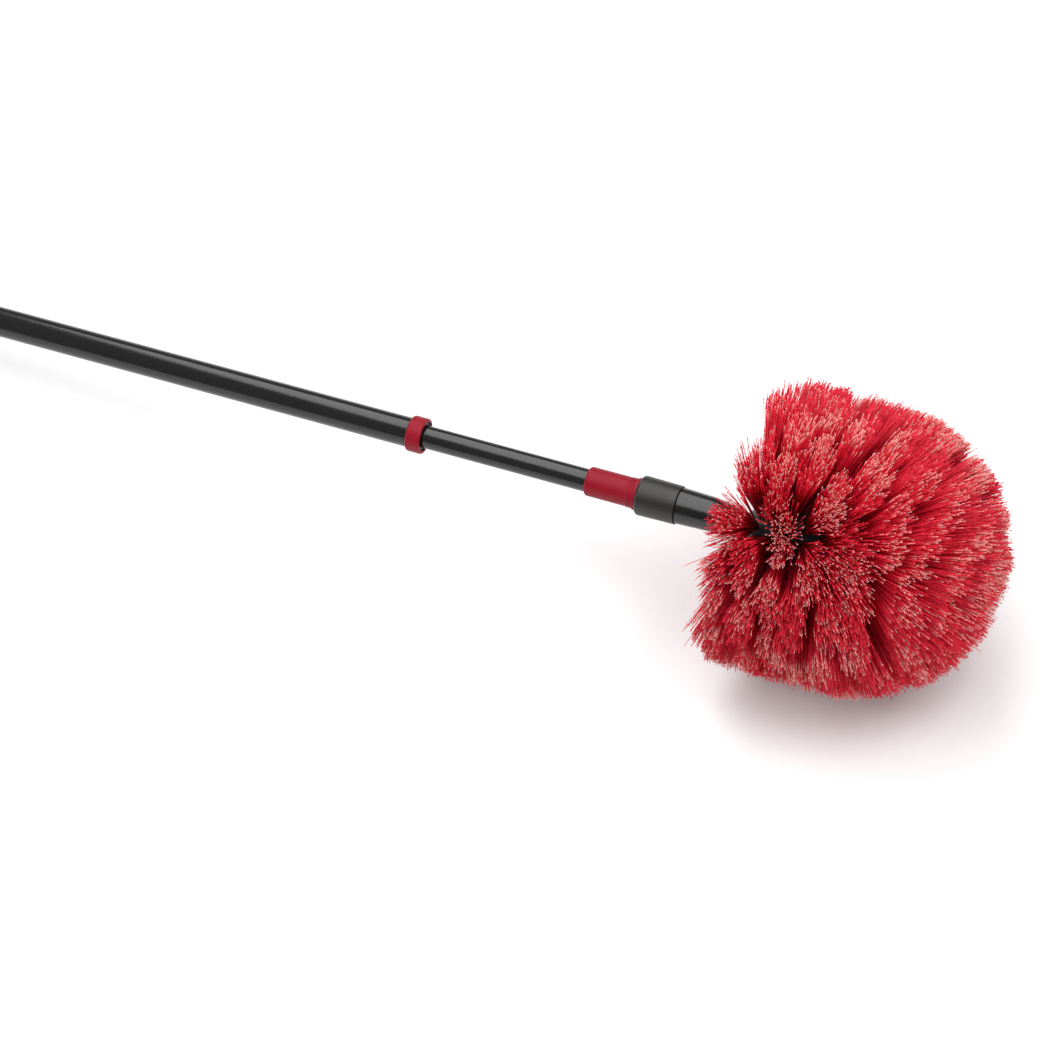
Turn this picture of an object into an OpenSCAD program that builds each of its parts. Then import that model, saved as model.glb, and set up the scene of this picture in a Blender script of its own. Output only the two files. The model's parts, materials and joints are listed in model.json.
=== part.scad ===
// Cobweb brush on a telescopic pole: a ball of bristles on a head that a collar nut screws to
// the inner tube, an outer tube that the inner one slides in, a twist lock and a hanging eye.
// It lies on the floor as it was put down, on its back row of bristles and its end cap.
// u is the distance along the pole from the waist behind the bristles, positive towards them.

/* [Outer tube] */
// Outside diameter of the outer tube
outer_d = 22; // [21:0.5:25]
// Wall of the outer tube
outer_wall = 0.6; // [0.4:0.1:1]
// Length of the outer tube
outer_len = 800; // [700:10:1000]

/* [Inner tube] */
// Outside diameter of the inner tube
inner_d = 17; // [15:0.5:17.5]
// Wall of the inner tube
inner_wall = 0.6; // [0.4:0.1:0.9]
// Length of inner tube that shows between the mouth ring and the adaptor
inner_show = 128; // [20:1:500]

/* [Fits] */
// Gap all round a piece that slides or turns in another
running_gap = 0.05; // [0.03:0.01:0.1]
// Gap between two faces that turn against each other
face_gap = 0.2; // [0.1:0.05:0.5]
// Free length left behind the lock when the pole is closed
stow_gap = 10; // [5:1:30]
// Gap round a screw's head or shank, or round a clip in its pocket
loose_gap = 0.6; // [0.3:0.1:1]
// Depth of a screw's thread in the wall of its hole
thread_bite = 0.3; // [0.2:0.05:0.4]

/* [Mouth ring and guide bush] */
// Outside diameter of the mouth ring
ring_d = 26.6; // [26:0.2:30]
// Length of the mouth ring
ring_len = 11.6; // [8:0.2:16]
// How far the mouth ring stands past the end of the tube
ring_lip = 2.6; // [1.8:0.2:4]
// Length of the guide bush inside the tube
bush_len = 30; // [20:1:45]
// Thickness of the guide bush's flange
bush_flange = 1.2; // [0.8:0.1:1.6]

/* [End cap] */
// Outside diameter of the end cap
cap_d = 25; // [24.5:0.5:28]
// Length of the cap's skirt over the tube
cap_skirt = 14; // [8:1:25]
// Thickness of the cap's closed end
cap_wall = 10; // [6:1:14]
// Length of the cap's plug inside the tube
cap_plug = 22; // [15:1:30]
// Radius of the cap's outer edge
cap_round = 2.5; // [1:0.5:4]

/* [Hanging eye] */
// Width of the eye's plate, round at its free end
eye_w = 18; // [16:0.5:19]
// Thickness of the eye's plate
eye_t = 6; // [4:0.5:8]
// Diameter of the hanging hole
eye_hole_d = 10; // [8:0.5:11]
// Distance from the cap to the centre of the hanging hole
eye_reach = 17; // [14:1:24]
// Diameter of the eye's collar, which turns against the cap
eye_collar_d = 15; // [12:0.5:18]
// Thickness of the eye's collar
eye_collar_t = 2.4; // [1.5:0.1:4]
// Diameter of the eye's stem
stem_d = 6; // [5:0.5:8]
// Diameter of the clip that holds the stem
clip_d = 11; // [9.5:0.5:13]
// Thickness of the clip
clip_t = 1; // [0.8:0.1:1.6]

/* [Twist lock] */
// Length of the lock plug inside the inner tube
lock_plug_len = 30; // [20:1:45]
// Thickness of the lock plug's two shoulders
lock_shoulder = 1.5; // [1:0.1:3]
// Length of the slide bush
slide_bush_len = 14; // [10:1:20]
// Diameter of the round journal that the slide bush turns on
bush_journal_d = 12; // [10:0.5:14]
// Length of the cam ring
cam_len = 14; // [8:1:20]
// Diameter of the off-centre journal that the cam ring turns on
cam_journal_d = 8; // [7:0.5:10]
// Distance of the off-centre journal from the pole's axis
cam_throw = 0.7; // [0.4:0.1:1]
// Gap left between the cam ring and the tube when it is locked
cam_grip_gap = 0.1; // [0.05:0.05:0.2]
// Turn of the inner tube between locked and free
lock_turn = 60; // [40:5:90]
// Diameter of the washer behind the cam ring
washer_d = 14; // [12:0.5:16]
// Thickness of that washer
washer_t = 1; // [0.6:0.1:2]
// Thread diameter of the lock screw
lock_screw_d = 4; // [3:0.5:5]
// Length of the lock screw under its head
lock_screw_len = 30; // [24:1:40]
// Height of the lock screw's head
lock_head_h = 3; // [2:0.5:4]

/* [Adaptor] */
// Outside diameter of the adaptor on the inner tube
adaptor_d = 21.6; // [20:0.2:23]
// Length of the adaptor that shows, flange included
adaptor_len = 39.5; // [30:0.5:60]
// Diameter of the adaptor's flange
flange_d = 23.8; // [23.2:0.2:27]
// Thickness of the adaptor's flange
flange_t = 3; // [2:0.5:5]
// Wall between the end of the inner tube and the adaptor's threaded nose
socket_wall = 4.5; // [3:0.5:8]
// Diameter of the adaptor's threaded nose
thread_d = 19; // [18.6:0.1:20]
// Length of the adaptor's threaded nose
thread_len = 12; // [8:1:14]
// Distance that the thread moves the head in one turn
thread_lead = 4; // [2:0.5:5]

/* [Collar] */
// Diameter of the collar at the adaptor
collar_d = 29.3; // [28:0.1:32]
// Diameter of the collar at the neck
collar_front_d = 28.3; // [27:0.1:30]
// Length of the collar
collar_len = 30.6; // [28:0.2:40]
// Radius of the collar's back edge
collar_round = 2.4; // [1:0.2:3]
// Thickness of the collar's inner lip, which pulls on the neck
collar_lip = 9; // [6:0.5:10]

/* [Neck] */
// Diameter of the neck at the collar
neck_d = 26.7; // [24:0.1:28]
// Diameter of the neck where it starts to round off
neck_mid_d = 25.3; // [23:0.1:26.5]
// Diameter of the waist between neck and core
waist_d = 13.2; // [12:0.1:16]
// Length of the neck from the collar to the waist
neck_len = 49; // [42:1:60]
// Length of the neck before it rounds off
neck_straight = 20; // [12:1:24]
// Diameter of the neck's tail inside the collar
tail_d = 17; // [16:0.1:17.4]
// Diameter of the neck's peg inside the core
peg_d = 10; // [9:0.5:11]
// Length of the neck's peg
peg_len = 34; // [20:1:45]
// Thickness of the retaining ring on the neck's tail
keeper_t = 1.5; // [1:0.1:2.5]
// Depth of the groove that the retaining ring sits in
keeper_groove = 1; // [0.6:0.1:1.5]

/* [Core] */
// Diameter of the core that carries the bristles
core_d = 36; // [30:0.5:42]
// Length of the core from the waist to the tip of its dome
core_len = 92; // [84:1:110]
// Length of the core's cone behind the bristles
flare_len = 11.5; // [8:0.5:14]
// Thickness of the core's skin that each row of tufts is set in
skin = 2; // [1.5:0.1:2.5]
// Thread diameter of the core screw
core_screw_d = 4.4; // [4:0.2:5]
// Length of the core screw's thread in the core, past the neck's peg
core_screw_bite = 22; // [12:1:28]

/* [Bristles] */
// Diameter that the bristles are trimmed to
brush_d = 212; // [170:2:240]
// Distance from the waist to the centre of the ball's rounded end
ball_u = 87; // [80:1:110]
// Distance of the first and last rows of tufts from the barrel's ends
row_margin = 2.5; // [2.2:0.1:4]
// Tufts around the core's barrel
tufts_round = 12; // [10:1:12]
// Turn of the head about the pole, as it stops when it is screwed on
head_turn = 12; // [0:1:30]
// Diameter of a tuft
tuft_d = 3.6; // [3.2:0.1:4]
// Depth of a tuft's hole below the core's surface
tuft_depth = 6.5; // [5:0.5:7]
// Backward lean of the back row from square to the pole
lean_back = 3; // [0:1:8]
// Forward lean of the bristles where the barrel meets the dome
lean_front = 38; // [30:1:42]
// Sideways spread of a tuft to each side
spread_round = 5.9; // [4:0.1:6]
// Spread of a tuft to each side along the pole
spread_along = 3.3; // [2:0.1:3.5]
// Half width of a strand at its root
strand_root = 0.5; // [0.4:0.05:0.55]
// Half width of a strand at its tip, along the pole
strand_tip = 4.2; // [3:0.1:4.5]
// How many times broader a strand's tip is round the pole than along it
strand_broad = 1.8; // [1:0.1:1.8]
// Width of the wire anchor past each side of a tuft
anchor_bite = 0.2; // [0.1:0.05:0.3]
// Thickness of a wire anchor
anchor_t = 0.5; // [0.4:0.1:0.8]
// Height of a wire anchor
anchor_h = 2; // [1.5:0.1:2.5]

/* [Hidden] */
BARREL_ROWS = ["bristle_row_1", "bristle_row_2", "bristle_row_3", "bristle_row_4",
               "bristle_row_5", "bristle_row_6"];
DOME_ROWS = ["bristle_dome_1", "bristle_dome_2", "bristle_dome_3", "bristle_tip"];
POLE_NODES = ["outer_tube", "mouth_ring", "guide_bush", "end_cap", "hang_eye", "eye_clip",
              "slide_bush", "inner_tube", "lock_plug", "cam_ring", "cam_washer", "lock_screw",
              "adaptor"];
HEAD_NODES = ["collar_nut", "retaining_ring", "neck", "core_hub", "core_screw", "tuft_anchors"];
$fn = 64;

outer_r = outer_d / 2;
bore_r = outer_r - outer_wall;
inner_r = inner_d / 2;
inner_bore_r = inner_r - inner_wall;
cap_r = cap_d / 2;
core_r = core_d / 2;
bed_r = core_r - skin;
ball_r = brush_d / 2;
stem_r = stem_d / 2;
thread_r = thread_d / 2;
tail_r = tail_d / 2;
core_head_r = core_screw_d;
tail_bore_r = core_head_r + loose_gap;
// How far a cut runs past what it cuts
over = 1;

// Places along the pole, from the bristles back to the hanging eye
barrel_end = core_len - core_r;
neck_back = -neck_len;
collar_front = neck_back - face_gap * 2;
collar_back = collar_front - collar_len;
adaptor_front = collar_back - face_gap;
adaptor_back = adaptor_front - adaptor_len;
inner_front = adaptor_front - socket_wall;
ring_front = adaptor_back - inner_show;
mouth = ring_front - ring_lip;
outer_back = mouth - outer_len;
cap_back = outer_back - cap_wall;
eye_u = cap_back - eye_reach;

// The closed pole fills the outer tube, so the inner tube's length follows from it
lock_tail = 2 * lock_shoulder + slide_bush_len + cam_len + 3 * face_gap + washer_t + lock_head_h;
inner_len = adaptor_len - socket_wall + ring_lip + outer_len - cap_plug - stow_gap - lock_tail;
inner_back = inner_front - inner_len;
bush_journal_back = inner_back - lock_shoulder - slide_bush_len - face_gap;
cam_front = bush_journal_back - lock_shoulder;
cam_back = cam_front - cam_len - face_gap;

// The cam ring's outside is off the pole's axis while locked, and on it after the lock's turn
cam_r = bore_r - cam_grip_gap - 2 * cam_throw * sin(lock_turn / 2);
cam_journal = [cam_throw, 0];
cam_centre = cam_throw * [1 - cos(lock_turn), -sin(lock_turn)];

// Rows of tufts. A row is [u, radius, lean from square, number of tufts] on the core's surface
barrel_first = flare_len + row_margin;
row_pitch = (barrel_end - row_margin - barrel_first) / (len(BARREL_ROWS) - 1);
tuft_pitch = 2 * PI * core_r / tufts_round;
dome_first = 25;
dome_step = (90 - dome_first) / (len(DOME_ROWS) - 1);
function barrel_u(i) = barrel_first + i * row_pitch;
function barrel_lean(u) =
    -lean_back + (lean_front + lean_back) * (u - barrel_first) / (barrel_end - barrel_first);
function barrel_row(i) = [barrel_u(i), core_r, barrel_lean(barrel_u(i)), tufts_round];
function dome_angle(i) = dome_first + i * dome_step;
function dome_row(i) =
    let(angle = dome_angle(i), r = core_r * cos(angle))
    [barrel_end + core_r * sin(angle), r, angle + lean_front * (1 - angle / 90),
     max(1, round(2 * PI * r / tuft_pitch))];
function brush_row(i) =
    i < len(BARREL_ROWS) ? barrel_row(i) : dome_row(i - len(BARREL_ROWS));

// Directions at a tuft: out along it, round the pole, and across both
function tuft_turn(i, j) = (j + (i % 2 == 0 ? 0.5 : 0)) * 360 / brush_row(i)[3] - head_turn;
function outward(turn, lean) = [cos(lean) * cos(turn), cos(lean) * sin(turn), sin(lean)];
function sideways(turn) = [-sin(turn), cos(turn), 0];
function lengthways(turn, lean) = [-sin(lean) * cos(turn), -sin(lean) * sin(turn), cos(lean)];
function surface_point(row, turn) = [row[1] * cos(turn), row[1] * sin(turn), row[0]];

// Distance from p along d to the trimmed outline: a rounded end, and a cylinder behind it
function to_ball(p, d) =
    let(q = p - [0, 0, ball_u], b = q * d) -b + sqrt(b * b - q * q + ball_r * ball_r);
function to_cylinder(p, d) =
    let(a = d.x * d.x + d.y * d.y, b = p.x * d.x + p.y * d.y,
        c = p.x * p.x + p.y * p.y - ball_r * ball_r)
    (-b + sqrt(b * b - a * c)) / a;
function reach(p, d) =
    let(t = to_ball(p, d)) p.z + t * d.z >= ball_u ? t : to_cylinder(p, d);

// A tuft is five strands, one in the middle and four that spread from it. Each stands for a
// bundle of bristles, so it is narrow in the tuft's hole and broad at the trimmed outline
SPREAD = [[0, 0], [1, 1], [-1, 1], [-1, -1], [1, -1]];
root_step = tuft_d / 2 - strand_root;
function strand_way(turn, lean, s) =
    let(d = outward(turn, lean) + s[0] * tan(spread_round) * sideways(turn)
            + s[1] * tan(spread_along) * lengthways(turn, lean))
    d / norm(d);
function strand_start(row, turn, s) =
    surface_point(row, turn) - skin / 2 * outward(turn, row[2])
    + root_step * (s[0] * 0.8 * sideways(turn) + s[1] * 0.6 * lengthways(turn, row[2]));
function strand_end(row, turn, s) =
    let(p = strand_start(row, turn, s), d = strand_way(turn, row[2], s)) p + reach(p, d) * d;
function strand_ring(p, turn, lean, half, broad) =
    [for (a = [0 : 90 : 270])
     p + half * (broad * cos(a) * sideways(turn) + sin(a) * lengthways(turn, lean))];
function root_ring(row, turn, s) =
    strand_ring(strand_start(row, turn, s), turn, row[2], strand_root, 1);

// Each edge of a strand runs on to the trimmed outline
function tip_ring(row, turn, s) =
    let(root = root_ring(row, turn, s),
        aim = strand_ring(strand_end(row, turn, s), turn, row[2], strand_tip, strand_broad))
    [for (k = [0 : 3])
     let(d = (aim[k] - root[k]) / norm(aim[k] - root[k])) root[k] + reach(root[k], d) * d];

// The brush lies so that the back row and the end cap's edge both touch the floor, and the
// lowest strands are cut flat by the floor
floor_cut = 1;
back_tips = [for (j = [0 : tufts_round - 1]) for (s = SPREAD)
             each tip_ring(brush_row(0), tuft_turn(0, j), s)];
function depth(tilt) = max([for (p = back_tips) p.x * cos(tilt) - p.z * sin(tilt)]);
cap_edge = -(cap_back + cap_round);
pole_tilt = asin((depth(5) - floor_cut) / norm([cap_edge, cap_r])) - atan2(cap_r, cap_edge);
axis_z = depth(pole_tilt) - floor_cut;
axis_x = -(ball_u * cos(pole_tilt) + ball_r + (eye_u - eye_w / 2) * cos(pole_tilt)) / 2;

BLACK = [0.05, 0.05, 0.055];
DARK_GREY = [0.14, 0.13, 0.13];
RED = [0.66, 0.05, 0.09];
BRISTLE_RED = [0.8, 0.06, 0.1];
STEEL = [0.7, 0.71, 0.72];
WHITE_PLASTIC = [0.86, 0.86, 0.83];

// Children are drawn along +Z with X pointing down, and come out lying along the pole
module lay(u = 0) {
    translate([axis_x, 0, axis_z]) rotate([0, 90 - pole_tilt, 0]) translate([0, 0, u]) children();
}

// Tube or rod along +Z from the back to the front, given as places along the pole
module tube(back, front, r, hole_r = 0) {
    translate([0, 0, back]) difference() {
        cylinder(h = front - back, r = r);
        if (hole_r > 0) translate([0, 0, -over]) cylinder(h = front - back + 2 * over, r = hole_r);
    }
}

// Rod with a rounded back edge
module round_backed(back, front, r, edge) {
    tube(back + edge, front, r);
    tube(back, back + edge, r - edge);
    translate([0, 0, back + edge]) rotate_extrude() translate([r - edge, 0]) intersection() {
        circle(edge);
        translate([0, -edge]) square(edge);
    }
}

module outer_tube() {
    color(BLACK) lay() tube(outer_back, mouth, outer_r, bore_r);
}

module mouth_ring() {
    edge = 0.8;
    color(RED) lay() difference() {
        union() {
            tube(ring_front - ring_len + edge, ring_front - edge, ring_d / 2);
            translate([0, 0, ring_front - edge])
                cylinder(h = edge, r1 = ring_d / 2, r2 = ring_d / 2 - edge / 2);
            translate([0, 0, ring_front - ring_len])
                cylinder(h = edge, r1 = ring_d / 2 - edge, r2 = ring_d / 2);
        }
        tube(ring_front - ring_len - over, ring_front + over, outer_r);
    }
}

module guide_bush() {
    color(BLACK) lay() difference() {
        union() {
            tube(mouth - bush_len, mouth, bore_r);
            tube(mouth, mouth + bush_flange, outer_r);
        }
        tube(mouth - bush_len - over, mouth + bush_flange + over, inner_r + running_gap);
    }
}

// The stem's bore opens into a wider pocket, where the clip holds the stem
pocket_back = cap_back + cap_wall / 2;
pocket_r = clip_d / 2 + 2 * loose_gap;
module end_cap() {
    color(BLACK) lay() difference() {
        union() {
            difference() {
                round_backed(cap_back, outer_back + cap_skirt, cap_r, cap_round);
                tube(outer_back, outer_back + cap_skirt + over, outer_r);
            }
            tube(outer_back, outer_back + cap_plug, bore_r);
        }
        tube(cap_back - over, pocket_back + over, stem_r + running_gap);
        tube(pocket_back, outer_back + cap_plug + over, pocket_r);
    }
}

clip_back = pocket_back + face_gap;
clip_front = clip_back + clip_t;
clip_groove_r = stem_r - 0.8;
module hang_eye() {
    plate_front = cap_back - face_gap - eye_collar_t;
    stem_end = 2;
    shank_w = eye_w - 4;
    color(BLACK) lay() difference() {
        union() {
            translate([0, 0, eye_u]) rotate([90, 0, 0])
                cylinder(h = eye_t, r = eye_w / 2, center = true);
            translate([-shank_w / 2, -eye_t / 2, eye_u]) cube([shank_w, eye_t, plate_front - eye_u]);
            tube(plate_front, plate_front + eye_collar_t, eye_collar_d / 2);
            tube(plate_front, clip_front + stem_end, stem_r);
        }
        translate([0, 0, eye_u]) rotate([90, 0, 0])
            cylinder(h = eye_t + 2 * over, r = eye_hole_d / 2, center = true);
        tube(clip_back, clip_front, stem_r + over, clip_groove_r);
    }
}

// Spring clip with a slot, pushed on sideways
module eye_clip() {
    color(STEEL) lay() difference() {
        tube(clip_back, clip_front, clip_d / 2, clip_groove_r);
        translate([0, -clip_groove_r, clip_back - over])
            cube([clip_d, 2 * clip_groove_r, clip_t + 2 * over]);
    }
}

module slide_bush() {
    back = bush_journal_back + face_gap / 2;
    band = 3;
    color(WHITE_PLASTIC) lay() difference() {
        union() {
            tube(back, back + slide_bush_len, bore_r - 2 * running_gap);
            for (end = [0, slide_bush_len - band])
                tube(back + end, back + end + band, bore_r - running_gap);
        }
        tube(back - over, back + slide_bush_len + over, bush_journal_d / 2 + running_gap);
    }
}

module inner_tube() {
    color(BLACK) lay() tube(inner_back, inner_front, inner_r, inner_bore_r);
}

module lock_plug() {
    plug_front = inner_back + lock_plug_len;
    hollow = 12;
    wall = 2;
    color(WHITE_PLASTIC) lay() difference() {
        union() {
            tube(inner_back, plug_front, inner_bore_r);
            tube(inner_back - lock_shoulder, inner_back, inner_r);
            tube(bush_journal_back, inner_back - lock_shoulder, bush_journal_d / 2);
            tube(cam_front, bush_journal_back, inner_r);
            translate(cam_journal) tube(cam_back, cam_front, cam_journal_d / 2);
        }
        translate(cam_journal)
            tube(cam_back - over, cam_back + lock_screw_len, lock_screw_d / 2 - thread_bite);
        tube(plug_front - hollow, plug_front + over, inner_bore_r - wall);
    }
}

module cam_ring() {
    flute_r = 1;
    color(WHITE_PLASTIC) lay() difference() {
        translate(cam_centre) tube(cam_back + face_gap / 2, cam_front - face_gap / 2, cam_r);
        translate(cam_journal) tube(cam_back - over, cam_front + over, cam_journal_d / 2 + running_gap);
        translate(cam_centre) for (k = [0 : 5]) rotate(60 * k + 30) translate([cam_r, 0])
            tube(cam_back - over, cam_front + over, flute_r);
    }
}

module cam_washer() {
    color(STEEL) lay() translate(cam_journal)
        tube(cam_back - washer_t, cam_back, washer_d / 2, lock_screw_d / 2 + 2 * running_gap);
}

// A round-headed screw along +Z, with a cross in its head
module cross_screw(head_back, seat, tip, d) {
    slot_w = 0.2 * d;
    slot_len = 1.2 * d;
    slot_depth = (seat - head_back) / 2;
    difference() {
        union() {
            round_backed(head_back, seat, d, (seat - head_back) / 2);
            tube(seat, tip, d / 2);
        }
        for (turn = [0, 90]) rotate(turn) translate([-slot_len / 2, -slot_w / 2, head_back - over])
            cube([slot_len, slot_w, slot_depth + over]);
    }
}

module lock_screw() {
    seat = cam_back - washer_t;
    color(STEEL) lay() translate(cam_journal)
        cross_screw(seat - lock_head_h, seat, seat + lock_screw_len, lock_screw_d);
}

// A sleeve over the inner tube, with a flange and a threaded nose for the collar
module adaptor() {
    edge = 0.6;
    groove_w = 1;
    groove_depth = 0.5;
    color(RED) lay() difference() {
        union() {
            round_backed(adaptor_back, adaptor_front, adaptor_d / 2, edge);
            tube(adaptor_front - flange_t, adaptor_front, flange_d / 2);
            tube(adaptor_front, adaptor_front + thread_len, thread_r);
        }
        tube(adaptor_back - over, inner_front, inner_r);
        tube(inner_front - over, adaptor_front + thread_len + over, tail_bore_r);
        for (u = [adaptor_front + 2 * groove_w : thread_lead / 2 : adaptor_front + thread_len - groove_w])
            tube(u, u + groove_w, thread_r + over, thread_r - groove_depth);
    }
}

// The nut screws on the adaptor's nose, and its lip pulls on the ring that the neck's tail holds
nut_bore_r = thread_r + running_gap * 2;
lip_back = collar_front - collar_lip;
module collar_nut() {
    taper_back = collar_back + collar_round + 1;
    color(DARK_GREY) lay() difference() {
        union() {
            round_backed(collar_back, taper_back, collar_d / 2, collar_round);
            translate([0, 0, taper_back])
                cylinder(h = collar_front - taper_back, r1 = collar_d / 2, r2 = collar_front_d / 2);
        }
        tube(collar_back - over, lip_back, nut_bore_r);
        tube(lip_back - over, collar_front + over, tail_r + running_gap);
    }
}

// Spring ring in a groove of the neck's tail
keeper_front = lip_back - face_gap;
keeper_back = keeper_front - keeper_t;
keeper_r = nut_bore_r - face_gap;
module retaining_ring() {
    slot_w = 3;
    color(STEEL) lay() difference() {
        tube(keeper_back, keeper_front, keeper_r, tail_r - keeper_groove);
        translate([0, -slot_w / 2, keeper_back - over]) cube([keeper_r + over, slot_w, keeper_t + 2 * over]);
    }
}

// The neck is nearly straight, then rounds off to the waist along a cosine
tail_back = adaptor_front + thread_len + face_gap;
screw_seat = -14;
function neck_outline(steps) =
    [for (k = [0 : steps]) [(waist_d + (neck_mid_d - waist_d) * cos(90 * k / steps)) / 2,
     neck_back + neck_straight + (neck_len - neck_straight) * k / steps]];
module neck() {
    edge = 0.6;
    color(BLACK) lay() difference() {
        union() {
            rotate_extrude() polygon(concat([[0, neck_back], [neck_d / 2 - edge, neck_back],
                                             [neck_d / 2, neck_back + edge]],
                                            neck_outline(14), [[0, 0]]));
            tube(tail_back, neck_back + over, tail_r);
            tube(-over, peg_len, peg_d / 2);
        }
        tube(keeper_back, keeper_front, tail_r + over, tail_r - keeper_groove);
        tube(tail_back - over, screw_seat, tail_bore_r);
        tube(screw_seat - over, peg_len + over, core_screw_d / 2 + face_gap);
    }
}

module core_screw() {
    head_h = 3;
    color(STEEL) lay()
        cross_screw(screw_seat - head_h, screw_seat, peg_len + core_screw_bite, core_screw_d);
}

// Places a child, drawn along +Z, at each tuft of row i, with its top on the core's surface
module at_tufts(i) {
    row = brush_row(i);
    for (j = [0 : row[3] - 1])
        rotate(tuft_turn(i, j)) translate([row[1], 0, row[0]]) rotate([0, 90 - row[2], 0]) children();
}

// Solid core with a cone behind, a barrel and a dome, drilled for every tuft
module core_hub() {
    pilot_r = core_screw_d / 2 - thread_bite;
    color(BLACK) lay() difference() {
        union() {
            rotate_extrude() polygon([[0, 0], [waist_d / 2, 0], [core_r, flare_len],
                                      [bed_r, flare_len], [bed_r, barrel_end], [0, barrel_end]]);
            translate([0, 0, barrel_end]) sphere(bed_r);
        }
        tube(-over, peg_len, peg_d / 2);
        tube(peg_len - over, peg_len + core_screw_bite + over, pilot_r);
        for (i = [0 : len(BARREL_ROWS) + len(DOME_ROWS) - 1])
            at_tufts(i) translate([0, 0, -tuft_depth]) cylinder(h = tuft_depth + 2 * over, r = tuft_d / 2);
    }
}

// A flat of wire in the bottom of each hole, biting into both sides of it
module tuft_anchors() {
    color(STEEL) lay() for (i = [0 : len(BARREL_ROWS) + len(DOME_ROWS) - 1])
        at_tufts(i) translate([-anchor_t / 2, -tuft_d / 2 - anchor_bite, -tuft_depth])
            cube([anchor_t, tuft_d + 2 * anchor_bite, anchor_h]);
}

// One strand: four flat sides from the skin to the trimmed outline, all of triangles
module strand(row, turn, s) {
    sides = [for (k = [0 : 3]) let(m = (k + 1) % 4) each [[k, k + 4, m], [m, k + 4, m + 4]]];
    polyhedron(points = concat(root_ring(row, turn, s), tip_ring(row, turn, s)),
               faces = concat([[0, 1, 2], [0, 2, 3], [4, 6, 5], [4, 7, 6]], sides));
}

module strands_and_roots(i) {
    row = brush_row(i);
    for (j = [0 : row[3] - 1]) for (s = SPREAD) strand(row, tuft_turn(i, j), s);
    at_tufts(i) translate([0, 0, anchor_h - tuft_depth])
        cylinder(h = tuft_depth - anchor_h - skin / 2, r = tuft_d / 2 - running_gap);
}

// A row on the barrel: a ring of the core's skin with its tufts set in it
module barrel_bristles(i) {
    back = i == 0 ? flare_len : barrel_u(i) - row_pitch / 2;
    front = i == len(BARREL_ROWS) - 1 ? barrel_end : barrel_u(i) + row_pitch / 2;
    color(BRISTLE_RED) lay() {
        tube(back, front, core_r, bed_r);
        strands_and_roots(i);
    }
}

// A row on the dome: a slice of the dome's skin between two cones
module dome_bristles(i) {
    low = i == 0 ? 0 : dome_angle(i) - dome_step / 2;
    high = min(90, dome_angle(i) + dome_step / 2);
    far = 2 * core_r;
    color(BRISTLE_RED) lay() {
        translate([0, 0, barrel_end]) rotate_extrude() intersection() {
            difference() {
                circle(core_r);
                circle(bed_r);
            }
            polygon([[0, 0], far * [cos(low), sin(low)], far * [cos(high), sin(high)]]);
        }
        strands_and_roots(i + len(BARREL_ROWS));
    }
}

// The floor takes a flat off the lowest strands
module cut_by_floor() {
    difference() {
        children();
        translate([axis_x - ball_r, -ball_r, -ball_r]) cube([3 * ball_r, 2 * ball_r, ball_r]);
    }
}

outer_tube();
mouth_ring();
guide_bush();
end_cap();
hang_eye();
eye_clip();
slide_bush();
inner_tube();
lock_plug();
cam_ring();
cam_washer();
lock_screw();
adaptor();
collar_nut();
retaining_ring();
neck();
core_hub();
core_screw();
tuft_anchors();
cut_by_floor() barrel_bristles(0);  // bristle_row_1
barrel_bristles(1);  // bristle_row_2
barrel_bristles(2);  // bristle_row_3
barrel_bristles(3);  // bristle_row_4
barrel_bristles(4);  // bristle_row_5
barrel_bristles(5);  // bristle_row_6
dome_bristles(0);  // bristle_dome_1
dome_bristles(1);  // bristle_dome_2
dome_bristles(2);  // bristle_dome_3
dome_bristles(3);  // bristle_tip
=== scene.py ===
import json
import math

import bmesh
import bpy
import numpy as np
from mathutils import Matrix, Vector


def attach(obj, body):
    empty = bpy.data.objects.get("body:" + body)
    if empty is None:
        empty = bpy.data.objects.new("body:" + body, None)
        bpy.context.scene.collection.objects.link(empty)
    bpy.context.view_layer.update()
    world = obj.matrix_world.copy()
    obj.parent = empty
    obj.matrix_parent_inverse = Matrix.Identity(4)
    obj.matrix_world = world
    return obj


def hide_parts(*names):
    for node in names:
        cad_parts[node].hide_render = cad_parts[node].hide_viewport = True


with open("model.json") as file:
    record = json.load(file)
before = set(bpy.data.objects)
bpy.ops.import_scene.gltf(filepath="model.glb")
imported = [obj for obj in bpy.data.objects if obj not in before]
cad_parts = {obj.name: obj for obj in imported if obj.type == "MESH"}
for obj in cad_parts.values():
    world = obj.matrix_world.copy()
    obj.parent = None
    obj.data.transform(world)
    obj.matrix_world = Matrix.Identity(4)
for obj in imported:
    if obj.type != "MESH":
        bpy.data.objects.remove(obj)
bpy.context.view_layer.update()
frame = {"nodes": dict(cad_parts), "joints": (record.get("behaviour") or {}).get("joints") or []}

# The outer tube: drawn steel with a coat of gloss black enamel, open at its mouth.
# The whole brush is laid out along its axis, so the axis and the way of turning
# round pieces about it are settled here. The enamel is on the inner tube too.
joints = {joint["name"]: joint for joint in frame["joints"]}
ALONG = Vector(joints["pole_slide"]["axis"]).normalized()
ACROSS = Vector((0, 1, 0))
DOWN = ACROSS.cross(ALONG)
COLLAR_JOINT = -0.065
WAIST = Vector(joints["collar_turn"]["pos_m"]) - COLLAR_JOINT * ALONG
POLE = Matrix.Translation(WAIST) @ Matrix((DOWN, ACROSS, ALONG)).transposed().to_4x4()
TILT = math.asin(ALONG.z)
SHARP = math.radians(30)
TURN_STEPS = 128


def places(node):
    """How far along the pole, and how far from its axis, each corner of a CAD node is."""
    corners = np.array([v.co for v in frame["nodes"][node].data.vertices]) - np.array(WAIST)
    along = corners @ np.array(ALONG)
    return along, np.linalg.norm(corners - along[:, None] * np.array(ALONG), axis=1)


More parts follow.
